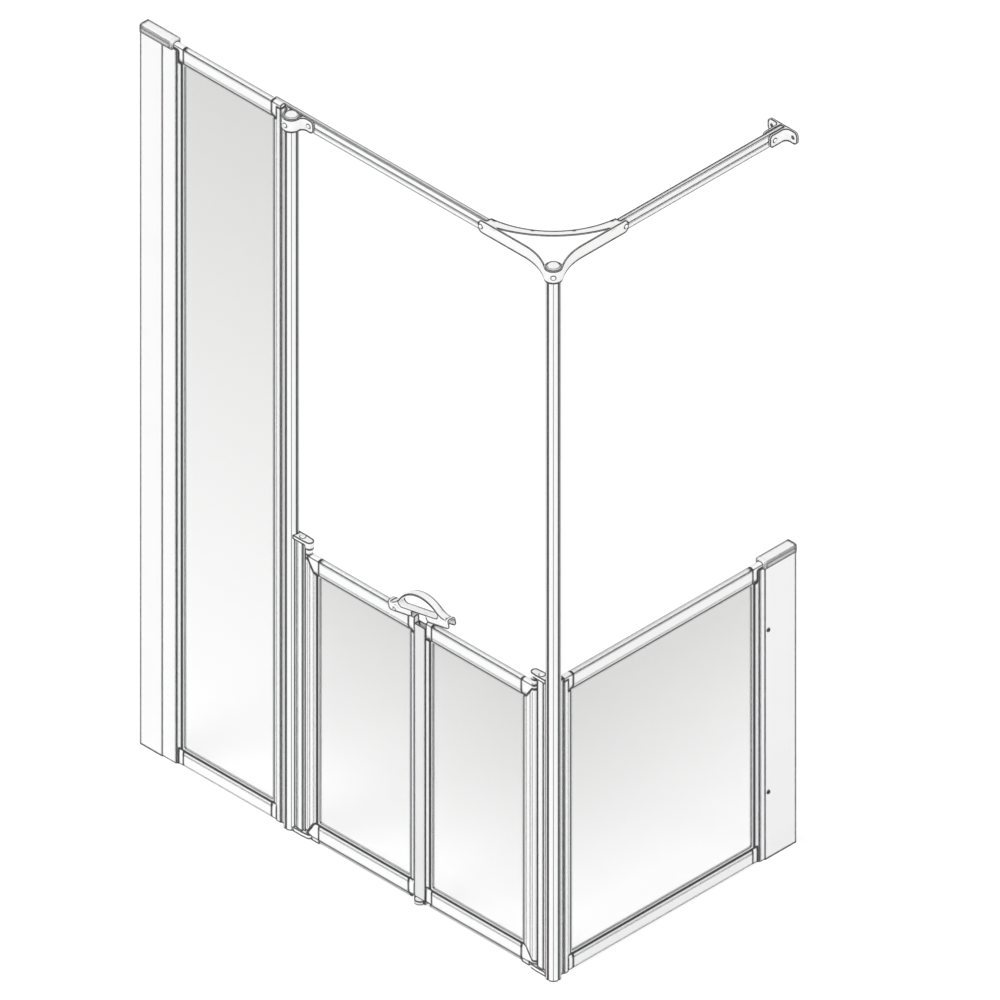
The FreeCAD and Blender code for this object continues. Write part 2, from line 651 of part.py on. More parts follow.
def door_leaf(bushes):
    """One glazed leaf, drawn from its post towards the meeting edge."""
    hinge_crease = PIVOT + HINGE_FACE
    lips = (hinge_crease + LIP_W, LEAF_END - MEET_FACE - LIP_W)
    nose = PIVOT - HALF_T
    inner = lips[0] + CAP_LAP
    over = DOOR_H + 2 * DOME
    side = HALF_T - FRAME_WALL
    pocket, glass, gasket = glazing(lips, DOOR_LIFT + RAIL_D, DOOR_H - RAIL_D)
    stem = rod(BUSH_STEM_R, (PIVOT, 0, 0), (PIVOT, 0, over))

    plan = [(PIVOT, -HALF_T)] + lip_steps(lips[0], 1) + [(PIVOT, HALF_T), ((nose, 0), (PIVOT, -HALF_T))]
    hinge_stile = extrude("plan", plan, DOOR_LIFT, DOOR_H).cut(stem).cut(block(
        (PIVOT + BUSH_R, -side, 0), (lips[0] - POCKET - FRAME_WALL, side, DOOR_H)))
    meet_stile = extrude("plan", lip_steps(lips[1], -1) + [(LEAF_END, HALF_T), (LEAF_END, -HALF_T)],
                         DOOR_LIFT, DOOR_H)
    far = inner + SPIGOT_L
    rounded = extrude("plan", [(PIVOT, -HALF_T), (far, -HALF_T), (far, HALF_T), (PIVOT, HALF_T),
                               ((nose, 0), (PIVOT, -HALF_T))], 0, over)
    guard = block((PIVOT + BOSS_R + GUARD_GAP, -SWEEP_T / 2, FLOOR_GAP), (inner, SWEEP_T / 2, DOOR_LIFT))

    caps = []
    rails = []
    for edge, way, domed in ((DOOR_H, 1, True), (DOOR_LIFT, -1, False)):
        hinge, hinge_space = make_cap(hinge_cap_steps(nose, hinge_crease, lips[0]),
                                      edge, way, domed, pocket, 1)
        meet, meet_space = make_cap(tab_cap_steps(LEAF_END, LEAF_END, lips[1], -1, CAP_STRIP),
                                    edge, way, domed, pocket, -1)
        hinge = hinge.common(rounded).cut(stem)
        caps += [hinge if domed else fuse(hinge, guard), meet]
        hinge_stile = hinge_stile.cut(hinge_space)
        meet_stile = meet_stile.cut(meet_space)
        rails.append(make_rail(inner, lips[1] - CAP_LAP, edge, way, domed, pocket))

    sweep = extrude("end", sweep_steps(), inner, LEAF_END - SWEEP_END)
    crown = extrude("end", rail_section(DOOR_H, 1, True), nose, inner).cut(stem)
    bushes = [bushes[0].cut(crown), bushes[1]]
    return {"hinge_stile": hinge_stile.cut(pocket), "meeting_stile": meet_stile.cut(pocket),
            "top_rail": rails[0], "bottom_rail": rails[1], "corner_caps": group(caps),
            "glass": glass, "glazing_gasket": gasket, "sweep_seal": sweep,
            "pivot_bushes": group(bushes)}


def meeting_seal():
    """Hollow strip that closes the gap between the leaves, carried by the left leaf."""
    end = MEETING_X + MEETING_W
    top = DOOR_H - MEETING_TOP_DROP
    body = block((MEETING_X, -HALF_T, DOOR_LIFT), (end, HALF_T, top))
    side = HALF_T - MEETING_WALL
    return body.cut(block((MEETING_X + MEETING_WALL, -side, DOOR_LIFT), (end - MEETING_WALL, side, top)))


def meeting_foot():
    """Moulded foot under the meeting seal, with a rounded toe on the outside."""
    end = MEETING_X + MEETING_W
    mid = (MEETING_X + end) / 2
    sole = block((MEETING_X, -HALF_T, FOOT_LIFT), (end, HALF_T, DOOR_LIFT))
    return fuse(sole, rod(FOOT_R, (mid, -HALF_T, FOOT_LIFT), (mid, -HALF_T, DOOR_LIFT)))


# Latch handle

def tunnel(half, spring, crown):
    """End outline of a tunnel with an arched top that reaches below the skirt."""
    return [(-half, -SKIRT), (-half, spring), ((0, crown), (half, spring)), (half, -SKIRT)]


def strap_outline():
    """Front outline of the strap with its roots: a round crown between two hollow shoulders."""
    rise = HANDLE_H - STRAP_ROOT_Z
    radius = (STRAP_ROOT ** 2 + rise ** 2) / (2 * rise)
    lean = math.asin(STRAP_ROOT / radius)
    low = SILL_Z + SADDLE_WALL
    bend = (STRAP_ROOT_Z - low) / (1 - math.cos(lean))
    toe = min(STRAP_ROOT + bend * math.sin(lean), HANDLE_L / 2 - RIM_L / 4)
    floor = (low + bend - math.sqrt(bend ** 2 - (STRAP_ROOT + bend * math.sin(lean) - toe) ** 2))
    centre = (STRAP_ROOT + bend * math.sin(lean), low + bend)
    right = tangent_arc(centre, (STRAP_ROOT, STRAP_ROOT_Z), (toe, floor))
    left = tangent_arc((-centre[0], centre[1]), (-toe, floor), (-STRAP_ROOT, STRAP_ROOT_Z))
    return [(-toe, floor), left, ((0, HANDLE_H), (STRAP_ROOT, STRAP_ROOT_Z)), right,
            (toe, SKIRT), (-toe, SKIRT)]


def finger_opening():
    """Front outline of the opening under the strap."""
    widest = SILL_Z + OPENING_RISE
    turn = (OPENING_SPAN - (OPENING_SPAN - OPENING_SILL) * (1 - BEVEL), SILL_Z + OPENING_RISE * (1 - BEVEL))
    return [(-OPENING_SILL, SILL_Z), (OPENING_SILL, SILL_Z), (turn, (OPENING_SPAN, widest)),
            ((0, HANDLE_H - STRAP_T), (-OPENING_SPAN, widest)),
            ((-turn[0], turn[1]), (-OPENING_SILL, SILL_Z))]


def skirt_notch():
    """Front outline of the notch that clears the meeting seal, flared at its foot."""
    flare = (NOTCH_TOP + (NOTCH_FOOT - NOTCH_TOP) * (1 - BEVEL), NOTCH_FLARE * (1 - BEVEL))
    return [(-NOTCH_FOOT, -SKIRT), (NOTCH_FOOT, -SKIRT), (NOTCH_FOOT, 0), (flare, (NOTCH_TOP, NOTCH_FLARE)),
            (NOTCH_TOP, SADDLE_CEILING), (-NOTCH_TOP, SADDLE_CEILING), (-NOTCH_TOP, NOTCH_FLARE),
            ((-flare[0], flare[1]), (-NOTCH_FOOT, 0))]


def make_handle():
    """Latch handle: a strap grip on a saddle that straddles both leaves' top rails when it is down."""
    half = HANDLE_L / 2
    wide = SADDLE_OUT - STRAP_INSET
    strap = extrude("front", strap_outline(), -wide, wide)
    rims = [e for e in strap.Edges if abs(abs(e.CenterOfMass.y) - wide) < TOUCH
            and e.BoundBox.ZMax > SILL_Z + TOUCH and e.BoundBox.XLength > RIM_L]
    strap = strap.makeFillet(STRAP_SOFT, rims)
    base = block((-half, -SADDLE_OUT, 0), (half, SADDLE_OUT, SILL_Z))
    arch = soft_box(-SADDLE_OUT, SADDLE_OUT, -RIM_H, RIM_H, RIM_ROUND)
    ends = [extrude("end", arch, a, b) for a, b in ((-half, RIM_L - half), (half - RIM_L, half))]
    body = fuse(base, strap, *ends).cut(extrude("front", finger_opening(), -FAR, FAR))
    body = body.common(extrude("front", soft_box(-half, half, 0, 2 * HANDLE_H, HANDLE_ROUND), -FAR, FAR))
    low_tunnel = tunnel(SADDLE_IN, SADDLE_CEILING - DOME, SADDLE_CEILING)
    end_top = SADDLE_CEILING + END_ROOM
    tail_top = SADDLE_CEILING + TAIL_ROOM
    body = body.cut(extrude("end", low_tunnel, -half, half)).cut(extrude("front", skirt_notch(), -FAR, FAR))
    body = body.cut(extrude("end", tunnel(SADDLE_IN, end_top - SADDLE_IN, end_top), END_TUNNEL, half))
    body = body.cut(extrude("end", tunnel(SADDLE_IN, tail_top - DOME, tail_top), -half, -END_TUNNEL))
    body = body.translated(FreeCAD.Vector(HANDLE_MID, 0, DOOR_H - SKIRT))
    body = body.cut(rod(HANDLE_PIN_R + PIN_FIT, (HANDLE_PIN_X, -FAR, HANDLE_PIN_Z),
                        (HANDLE_PIN_X, FAR, HANDLE_PIN_Z)))
    return body.rotated(FreeCAD.Vector(HANDLE_PIN_X, 0, HANDLE_PIN_Z), FreeCAD.Vector(0, -1, 0), HANDLE_LIFT)


# Curtain rails

def rail_profile():
    """Section of the curtain rail about its middle: a slotted track below, a closed box above."""
    half = RAIL_T / 2
    slot = TRACK_SLOT / 2
    track = half - RAIL_WALL
    neck = half - RAIL_RIB
    return [(-half, 0), (-slot, 0), (-slot, RAIL_WALL), (-track, RAIL_WALL),
            (-track, RAIL_STEP - RAIL_WALL), (track, RAIL_STEP - RAIL_WALL), (track, RAIL_WALL),
            (slot, RAIL_WALL), (slot, 0), (half, 0), (half, RAIL_STEP), (neck, RAIL_STEP + RAIL_RIB),
            (neck, RAIL_H - 3 * RAIL_RIB), (half, RAIL_H - 2 * RAIL_RIB), (half, RAIL_H),
            (half - RAIL_WALL, RAIL_H), (half - RAIL_WALL, RAIL_H - RAIL_RIB),
            (half - 2 * RAIL_WALL, RAIL_H - RAIL_RIB), (half - 2 * RAIL_WALL, RAIL_H),
            (-neck, RAIL_H), (-neck, RAIL_STEP), (-half, RAIL_STEP)]


def rail_hollow(start, stop, fit):
    """Closed chamber above the track, or the spigot that fills it with a fit."""
    side = RAIL_T / 2 - RAIL_RIB - RAIL_WALL - fit
    return block((start, -side, RAIL_BOTTOM + RAIL_STEP + fit),
                 (stop, side, RAIL_TOP - RAIL_RIB - RAIL_WALL - fit))


def curtain_rail(start, stop, offset):
    body = extrude("end", rail_profile(), start, stop).translated(FreeCAD.Vector(0, 0, RAIL_BOTTOM))
    return body.cut(rail_hollow(start, stop, 0)).translated(FreeCAD.Vector(0, offset, 0))


def across_corner(shape):
    """Reflect a piece in the enclosure's diagonal, from the front leg to the side leg."""
    return shape.mirror(ORIGIN, FreeCAD.Vector(1, 1, 0))


def bracket_arm():
    """One arm of the corner bracket with its lug, rail stop and spigot, on the front leg."""
    radius = (ARM_SWEEP ** 2 + ARM_FRONT ** 2 - COLLAR_R ** 2) / (2 * (COLLAR_R + ARM_FRONT))
    centre = (-ARM_SWEEP, ARM_FRONT - radius)
    reach = math.hypot(*centre)
    touch = tuple(c * COLLAR_R / reach for c in centre)
    inner = tuple(c * (COLLAR_R - ARM_T) / reach for c in centre)
    outer_start = (-ARM_SWEEP, ARM_FRONT)
    inner_start = (-ARM_SWEEP, ARM_BACK)
    wall = extrude("plan", [
        (-ARM_END, ARM_FRONT), outer_start, tangent_arc(centre, outer_start, touch), inner,
        tangent_arc(centre, inner, inner_start), (-ARM_END, ARM_BACK)], RAIL_BOTTOM, RAIL_TOP)
    tip = ARM_END + LUG_L
    lug = extrude("front", soft_box(-tip, tip, RAIL_BOTTOM, RAIL_TOP, LUG_ROUND), ARM_FRONT, RAIL_FRONT)
    lug = lug.common(block((-tip, 0, 0), (ARM_STOP / 2 - ARM_END, RAIL_FRONT, RAIL_TOP)))
    back = RAIL_FRONT + RAIL_T
    stop = block((-ARM_END, ARM_FRONT, RAIL_BOTTOM), (ARM_STOP - ARM_END, back, RAIL_TOP))
    spigot = rail_hollow(-ARM_END - SPIGOT_L, ARM_STOP - ARM_END, SPIGOT_FIT)
    return [wall, lug, stop, spigot.translated(FreeCAD.Vector(0, RAIL_MID, 0))]


def bracket_brace():
    """Flat bowed brace between the two arms, pierced for curtain hooks along its far edge."""
    far_mid = (-BRACE_FAR_MID, BRACE_FAR_MID)
    near_mid = (-BRACE_NEAR_MID, BRACE_NEAR_MID)
    low = RAIL_TOP - BRACE_T
    body = extrude("plan", [
        (-ARM_END, ARM_BACK), (-ARM_END, BRACE_FAR), (far_mid, (-BRACE_FAR, ARM_END)),
        (-ARM_BACK, ARM_END), (-ARM_BACK, BRACE_NEAR), (near_mid, (-BRACE_NEAR, ARM_BACK))], low, RAIL_TOP)
    bow = Part.Arc(*[FreeCAD.Vector(*p, 0) for p in (
        (-ARM_END, BRACE_FAR), far_mid, (-BRACE_FAR, ARM_END))]).toShape().Curve
    for step in (-1.5, -0.5, 0.5, 1.5):
        turn = math.radians(step * HOOK_PITCH - 45)
        reach = bow.Radius + HOOK_HOLE_IN
        x = bow.Center.x + reach * math.cos(turn)
        y = bow.Center.y + reach * math.sin(turn)
        body = body.cut(rod(HOOK_HOLE_R, (x, y, low), (x, y, RAIL_TOP)))
    return body


def corner_bracket():
    """Curved bracket: a collar on the corner post, two arms to the rails and a brace."""
    collar = rod(COLLAR_R, (0, 0, RAIL_BOTTOM), (0, 0, RAIL_TOP))
    arm = bracket_arm()
    body = fuse(collar, *arm, *[across_corner(piece) for piece in arm], bracket_brace())
    return body.cut(rod(POST_R + COLLAR_FIT, (0, 0, 0), (0, 0, POST_H)))


def post_clip():
    """Omega clip that holds the front rail against the back of the mid post."""
    front = RAIL_FRONT - EAR_T
    drop = front - EAR_BLEND
    across = math.sqrt((COLLAR_R + EAR_BLEND) ** 2 - drop ** 2)
    share = COLLAR_R / (COLLAR_R + EAR_BLEND)
    touch = (across * share, drop * share)
    body = extrude("plan", [
        (-EAR_L, front), (-across, front),
        tangent_arc((-across, drop), (-across, front), (-touch[0], touch[1])),
        ((0, -COLLAR_R), touch), tangent_arc((across, drop), touch, (across, front)),
        (EAR_L, front), (EAR_L, RAIL_FRONT), (-EAR_L, RAIL_FRONT)], RAIL_BOTTOM, RAIL_TOP)
    fit = POST_R + COLLAR_FIT
    body = body.cut(rod(fit, (0, 0, 0), (0, 0, POST_H)))
    body = body.cut(block((-fit, 0, 0), (fit, RAIL_FRONT, POST_H)))
    ears = extrude("front", soft_box(-EAR_L, EAR_L, RAIL_BOTTOM, RAIL_TOP, EAR_ROUND), -FAR, FAR)
    return body.common(ears).translated(FreeCAD.Vector(MID_POST, 0, 0))


def rail_wall_bracket():
    """T-shaped wall bracket: a screwed plate with two cheeks that take the side rail's end."""
    half = WALL_PLATE_W / 2
    slot = RAIL_T / 2 + RAIL_SIDE_FIT
    cheek = slot + CHEEK_T
    seat = SIDE_RUN - WALL_PLATE_T
    bend = cheek + CHEEK_BLEND
    root = seat - CHEEK_BLEND
    tip = SIDE_RUN - CHEEK_L
    right = [(half, SIDE_RUN), (half, seat), (bend, seat),
             tangent_arc((bend, root), (bend, seat), (cheek, root)), (cheek, tip), (slot, tip), (slot, seat)]
    left = [(-slot, seat), (-slot, tip), (-cheek, tip), (-cheek, root),
            tangent_arc((-bend, root), (-cheek, root), (-bend, seat)), (-half, seat), (-half, SIDE_RUN)]
    body = extrude("plan", right + left, RAIL_BOTTOM, RAIL_TOP)
    plate = soft_box(-half, half, RAIL_BOTTOM, RAIL_TOP, WALL_PLATE_ROUND)
    body = body.common(extrude("front", plate, 0, SIDE_RUN))
    reach = SIDE_RUN + CHEEK_L
    cheeks = soft_box(tip, reach, RAIL_BOTTOM, RAIL_TOP, CHEEK_ROUND)
    body = body.common(extrude("end", cheeks, -half, half))
    for x in (-WALL_PLATE_HOLES / 2, WALL_PLATE_HOLES / 2):
        body = body.cut(rod(WALL_PLATE_HOLE_R, (x, seat, RAIL_Z), (x, SIDE_RUN, RAIL_Z)))
    return body.translated(FreeCAD.Vector(-RAIL_MID, 0, 0))


def rail_screws():
    """Screws of the clip, of the corner bracket and of the wall bracket."""
    bite = math.sqrt(COLLAR_R ** 2 - SCREW_HEAD_R ** 2)
    clip = [screw((MID_POST + x, RAIL_FRONT - EAR_T, RAIL_Z), (0, 1, 0)) for x in (-EAR_SCREW, EAR_SCREW)]
    clip.append(screw((MID_POST, -bite, RAIL_Z), (0, 1, 0)))
    lug = ARM_END + LUG_SCREW
    corner = [screw((-lug, ARM_FRONT, RAIL_Z), (0, 1, 0)), screw((-ARM_FRONT, lug, RAIL_Z), (-1, 0, 0)),
              screw((bite * BEVEL, -bite * BEVEL, RAIL_Z), (-1, 1, 0))]
    cheek = RAIL_T / 2 + RAIL_SIDE_FIT + CHEEK_T - RAIL_MID
    return clip, corner, [screw((cheek, SIDE_RUN - CHEEK_SCREW, RAIL_Z), (-1, 0, 0))]


# Assembly

def add_panel(nodes, name, place, pieces):
    for piece, shape in pieces.items():
        nodes[f"{name}_{piece}"] = place(shape)


def build():
    nodes = {}
    legs = (("tall", on_front_leg, TALL_RUN, TALL_H, (1 / 3, 2 / 3), (1 / 2,)),
            ("side", on_side_leg, SIDE_RUN, LOW_H, (), ()))
    locks = []
    for name, place, run, height, more_holes, more_locks in legs:
        holes = [WALL_HOLE_END, height - WALL_HOLE_END] + [share * height for share in more_holes]
        heights = [LOCK_SCREW_END, height - LOCK_SCREW_END] + [share * height for share in more_locks]
        screws = lock_screws(run, heights)
        panel = fixed_panel(run, height)
        panel["wall_stile"] = drilled(panel["wall_stile"], screws)
        add_panel(nodes, name, place, panel)
        nodes[f"{name}_wall_channel"] = place(drilled(wall_channel(run, height, holes), screws))
        nodes[f"{name}_wall_cap"] = place(wall_cap(run, height))
        locks += [place(each) for each in screws]
    nodes["channel_screws"] = group(locks)

    post = make_post()
    clip_screws, corner_screws, wall_screws = rail_screws()
    nodes["mid_post"] = drilled(on_left_leaf(post), clip_screws)
    nodes["corner_post"] = drilled(post, corner_screws)
    nodes["post_caps"] = group([on_left_leaf(make_post_cap()), make_post_cap()])
    nodes["post_foot_plugs"] = group([on_left_leaf(make_foot_plug()), make_foot_plug()])
    nodes["post_interlocks"] = group([on_front_leg(make_interlock(RAIL_BOTTOM)),
                                      on_side_leg(make_interlock(LOW_H))])

    upper, lower, pins, bushes, screws = pivot_set()
    jamb = make_jamb()
    seal = make_hinge_seal(jamb)
    leaf = door_leaf(bushes)
    sides = (("left", on_left_leaf), ("right", on_right_leaf))
    for name, place in sides:
        nodes[f"{name}_jamb"] = place(drilled(jamb, screws))
        nodes[f"{name}_top_pivot_bracket"] = place(upper)
        add_panel(nodes, name, place, leaf)
    nodes["bottom_pivot_brackets"] = group([place(lower) for name, place in sides])
    nodes["hinge_seals"] = group([place(seal) for name, place in sides])
    nodes["pivot_pins"] = group([place(pin) for name, place in sides for pin in pins])
    nodes["pivot_screws"] = group([place(each) for name, place in sides for each in screws])

    nodes["meeting_seal"] = meeting_seal()
    nodes["meeting_seal_foot"] = meeting_foot()
    reach = SADDLE_OUT - HANDLE_PIN_RECESS
    nodes["latch_pin"] = rod(HANDLE_PIN_R, (HANDLE_PIN_X, -reach, HANDLE_PIN_Z),
                             (HANDLE_PIN_X, reach, HANDLE_PIN_Z))
    nodes["left_top_rail"] = nodes["left_top_rail"].cut(nodes["latch_pin"])
    nodes["latch_handle"] = make_handle()

    front_rail = curtain_rail(MID_POST - RAIL_OVERHANG, -ARM_END, RAIL_MID).mirror(
        FreeCAD.Vector(0, RAIL_MID, 0), FreeCAD.Vector(0, 1, 0))
    side_rail = on_side_leg(curtain_rail(ARM_END, SIDE_RUN - WALL_PLATE_T, RAIL_MID))
    nodes["front_curtain_rail"] = drilled(front_rail, clip_screws + corner_screws)
    nodes["side_curtain_rail"] = drilled(side_rail, corner_screws + wall_screws)
    nodes["corner_bracket"] = drilled(corner_bracket(), corner_screws)
    nodes["post_clip"] = drilled(post_clip(), clip_screws)
    nodes["rail_wall_bracket"] = drilled(rail_wall_bracket(), wall_screws)
    nodes["rail_screws"] = group(clip_screws + corner_screws + wall_screws)
    return nodes


os.makedirs("parts", exist_ok=True)
for node, shape in build().items():
    state = "" if shape.isValid() else "  INVALID"
    print(f"{node}: {len(shape.Solids)} solid(s), {shape.Volume / 1000:.1f} cm3{state}")
    shape.exportStep(f"parts/{node}.step")
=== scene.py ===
import math
import bpy
from mathutils import Matrix, Vector


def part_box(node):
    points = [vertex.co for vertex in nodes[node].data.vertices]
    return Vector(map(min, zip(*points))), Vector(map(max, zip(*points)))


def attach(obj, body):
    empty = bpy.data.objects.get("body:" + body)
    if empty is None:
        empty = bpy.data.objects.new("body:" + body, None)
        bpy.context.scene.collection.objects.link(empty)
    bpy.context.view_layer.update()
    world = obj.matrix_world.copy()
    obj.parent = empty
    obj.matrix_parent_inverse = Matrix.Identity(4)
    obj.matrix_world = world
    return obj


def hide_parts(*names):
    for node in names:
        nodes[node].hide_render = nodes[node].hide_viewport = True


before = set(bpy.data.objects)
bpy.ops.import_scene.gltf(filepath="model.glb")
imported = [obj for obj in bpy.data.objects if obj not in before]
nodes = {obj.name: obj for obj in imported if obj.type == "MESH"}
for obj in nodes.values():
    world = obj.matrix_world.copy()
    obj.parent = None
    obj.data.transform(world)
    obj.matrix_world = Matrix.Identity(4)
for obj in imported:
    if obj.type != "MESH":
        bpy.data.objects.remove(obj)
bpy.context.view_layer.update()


# Lines that the finishes carry

SHOW_CORNER = Vector((1, -1, 1)).normalized()   # towards the corner that the screen is shown from
ACROSS = Vector((1, 1, 0)).normalized()         # level and square to the show corner
LINE_TONE = (0.02, 0.02, 0.022, 1)
LINE_STRENGTH = 0.97
LINE_SAMPLES = 16
EDGE_FADE = 0.008               # an edge line comes in over this much more turn of the normal
FAR_TURN = (0.010, 0.013)       # turn of the normal over which a far line comes in
FAR_LEAN = (-0.01, -0.03)       # lean of that turn away from the show corner
ANY_RISE = -2.0                 # no face looks down further, so this leaves none out
ROUND_BEND = (0.508, 0.522)     # pointiness over which a rounded edge gets its line
# the faces in a post's grooves get painted shade
GROOVE_SQUARE = (0.993, 0.997)  # a post's grooves have faces square to the screen's two legs
GROOVE_SHADE_SHARE = 0.9
SIDE_LEAN = 0.26                # a post's side lines lie where it still looks this much to the show corner
SIDE_REACH = 0.095
SIDE_SHARE = 1.0
FRONT_REACH = 0.055
FRONT_SHARE = 0.9
LINE_CORE = 0.7                 # share of its reach in which a post's line is at its full strength
FOOT_LINE = (0.0034, 0.0026)    # height over which the line round a post's foot comes in


# Small node makers

MIX_FIRST = 6     # colour sockets of a Mix node
MIX_SECOND = 7
MIX_RESULT = 2


def join_value(tree, value, socket):
    """Put a constant on a socket, or link another node's output to it."""
    if isinstance(value, bpy.types.NodeSocket):
        tree.links.new(value, socket)
    else:
        socket.default_value = value


def math_node(tree, operation, first, second=0.0):
    node = tree.nodes.new("ShaderNodeMath")
    node.operation = operation
    join_value(tree, first, node.inputs[0])
    join_value(tree, second, node.inputs[1])
    return node.outputs[0]


def vector_node(tree, operation, first, second):
    node = tree.nodes.new("ShaderNodeVectorMath")
    node.operation = operation
    join_value(tree, first, node.inputs[0])
    join_value(tree, second, node.inputs[1])
    return node.outputs["Value" if operation == "DOT_PRODUCT" else "Vector"]


def blend_colour(tree, share, first, second):
    node = tree.nodes.new("ShaderNodeMix")
    node.data_type = "RGBA"
    tree.links.new(share, node.inputs["Factor"])
    join_value(tree, first, node.inputs[MIX_FIRST])
    join_value(tree, second, node.inputs[MIX_SECOND])
    return node.outputs[MIX_RESULT]


def ramp(tree, value, low, high, out_low=0.0, out_high=1.0):
    node = tree.nodes.new("ShaderNodeMapRange")
    tree.links.new(value, node.inputs["Value"])
    node.inputs["From Min"].default_value = low
    node.inputs["From Max"].default_value = high
    node.inputs["To Min"].default_value = out_low
    node.inputs["To Max"].default_value = out_high
    return node.outputs["Result"]


def noise(tree, place, scale, detail):
    node = tree.nodes.new("ShaderNodeTexNoise")
    tree.links.new(place, node.inputs["Vector"])
    join_value(tree, scale, node.inputs["Scale"])
    node.inputs["Detail"].default_value = detail
    return node.outputs["Fac"]


def parts_of(tree, vector):
    """The X, Y and Z of a vector."""
    node = tree.nodes.new("ShaderNodeSeparateXYZ")
    tree.links.new(vector, node.inputs["Vector"])
    return node.outputs


def own_place(tree):
    return tree.nodes.new("ShaderNodeTexCoord").outputs["Object"]


def true_normal(tree):
    return tree.nodes.new("ShaderNodeNewGeometry").outputs["Normal"]


def own_direction(tree, vector):
    """A direction along the piece's own axes, which turn with it."""
    node = tree.nodes.new("ShaderNodeVectorTransform")
    node.convert_from = "WORLD"
    node.convert_to = "OBJECT"
    tree.links.new(vector, node.inputs["Vector"])
    return node.outputs["Vector"]


def seen_rays(tree):
    """1 for what is seen, straight, mirrored or through glass, and 0 for light that falls on the screen."""
    path = tree.nodes.new("ShaderNodeLightPath")
    seen = math_node(tree, "MAXIMUM", path.outputs["Is Camera Ray"], path.outputs["Is Glossy Ray"])
    return math_node(tree, "MAXIMUM", seen, path.outputs["Is Transmission Ray"])


# Shader groups shared by the finishes

LINE_SOCKETS = [("Color", "NodeSocketColor", (1, 1, 1, 1)), ("Line", "NodeSocketColor", LINE_TONE),
                ("Strength", "NodeSocketFloat", LINE_STRENGTH)]
COLOUR_OUT = [("Color", "NodeSocketColor")]


def new_group(name, inputs, outputs):
    """An empty shader group with named sockets."""
    tree = bpy.data.node_groups.new(name, "ShaderNodeTree")
    for label, kind, value in inputs:
        socket = tree.interface.new_socket(name=label, in_out="INPUT", socket_type=kind)
        socket.default_value = value
    for label, kind in outputs:
        tree.interface.new_socket(name=label, in_out="OUTPUT", socket_type=kind)
    return tree, tree.nodes.new("NodeGroupInput"), tree.nodes.new("NodeGroupOutput")


def rounded_turn(tree, width):
    """The normal as it would be with every edge rounded to a width, the true one, and how far apart
    they are."""
    bevel = tree.nodes.new("ShaderNodeBevel")
    bevel.samples = LINE_SAMPLES
    tree.links.new(width, bevel.inputs["Radius"])
    soft = bevel.outputs["Normal"]
    true = true_normal(tree)
    return soft, true, math_node(tree, "SUBTRACT", 1.0, vector_node(tree, "DOT_PRODUCT", soft, true))


def draw_line(tree, given, result, mask):
    """Lay the line's colour over the given one where the mask says."""
    share = math_node(tree, "MULTIPLY", mask, given.outputs["Strength"])
    colour = blend_colour(tree, share, given.outputs["Color"], given.outputs["Line"])
    tree.links.new(colour, result.inputs["Color"])
    return tree


def edge_line_group():
    """Dark line along both sides of every edge that turns more than the least amount."""
    sockets = [("Width", "NodeSocketFloat", 0.005), ("Least", "NodeSocketFloat", 0.006)]
    tree, given, result = new_group("edge_line", LINE_SOCKETS + sockets, COLOUR_OUT)
    turned = rounded_turn(tree, given.outputs["Width"])[2]
    past = math_node(tree, "SUBTRACT", turned, given.outputs["Least"])
    return draw_line(tree, given, result, ramp(tree, past, 0.0, EDGE_FADE))


def far_line_group():
    """Broader dark line where an edge turns away from the show corner, as an outline has. Rise keeps it to
    the faces that look up more than that."""
    sockets = [("Width", "NodeSocketFloat", 0.009), ("Rise", "NodeSocketFloat", ANY_RISE)]
    tree, given, result = new_group("far_line", LINE_SOCKETS + sockets, COLOUR_OUT)
    soft, true, turned = rounded_turn(tree, given.outputs["Width"])
    change = own_direction(tree, vector_node(tree, "SUBTRACT", soft, true))
    away = ramp(tree, vector_node(tree, "DOT_PRODUCT", change, SHOW_CORNER), *FAR_LEAN)
    up = math_node(tree, "GREATER_THAN", parts_of(tree, true)["Z"], given.outputs["Rise"])
    mask = math_node(tree, "MULTIPLY", ramp(tree, turned, *FAR_TURN), math_node(tree, "MULTIPLY", away, up))
    return draw_line(tree, given, result, mask)


def round_line_group():
    """Dark line along the rounded edges of a dense mesh."""
    tree, given, result = new_group("round_line", LINE_SOCKETS, COLOUR_OUT)
    bend = tree.nodes.new("ShaderNodeNewGeometry").outputs["Pointiness"]
    return draw_line(tree, given, result, ramp(tree, bend, *ROUND_BEND))


def tube_line_group():
    """Lines along an upright post: painted shade in its grooves, one at each side, just before it turns away
    from the show corner, a paler one along its front, and one round its foot."""
    tree, given, result = new_group("tube_line", LINE_SOCKETS, COLOUR_OUT)
    normal = own_direction(tree, true_normal(tree))
    level = parts_of(tree, normal)
    square = math_node(tree, "MAXIMUM", math_node(tree, "ABSOLUTE", level["X"]),
                       math_node(tree, "ABSOLUTE", level["Y"]))
    # painted shade on the faces inside the grooves
    mask = ramp(tree, square, *GROOVE_SQUARE, 0.0, GROOVE_SHADE_SHARE)
    for way, middle, reach, share in ((SHOW_CORNER, SIDE_LEAN, SIDE_REACH, SIDE_SHARE),
                                      (ACROSS, 0.0, FRONT_REACH, FRONT_SHARE)):
        lean = vector_node(tree, "DOT_PRODUCT", normal, way)
        off = math_node(tree, "ABSOLUTE", math_node(tree, "SUBTRACT", lean, middle))
        line = ramp(tree, off, reach, reach * LINE_CORE, 0.0, share)
        mask = math_node(tree, "MAXIMUM", mask, line)
    foot = ramp(tree, parts_of(tree, own_place(tree))["Z"], *FOOT_LINE)
    return draw_line(tree, given, result, math_node(tree, "MAXIMUM", mask, foot))


GRAIN_DETAIL = 2.0
DRIFT_DETAIL = 4.0
DRIFT_BAND = (0.35, 0.7)
NOISE_MIDDLE = 0.5


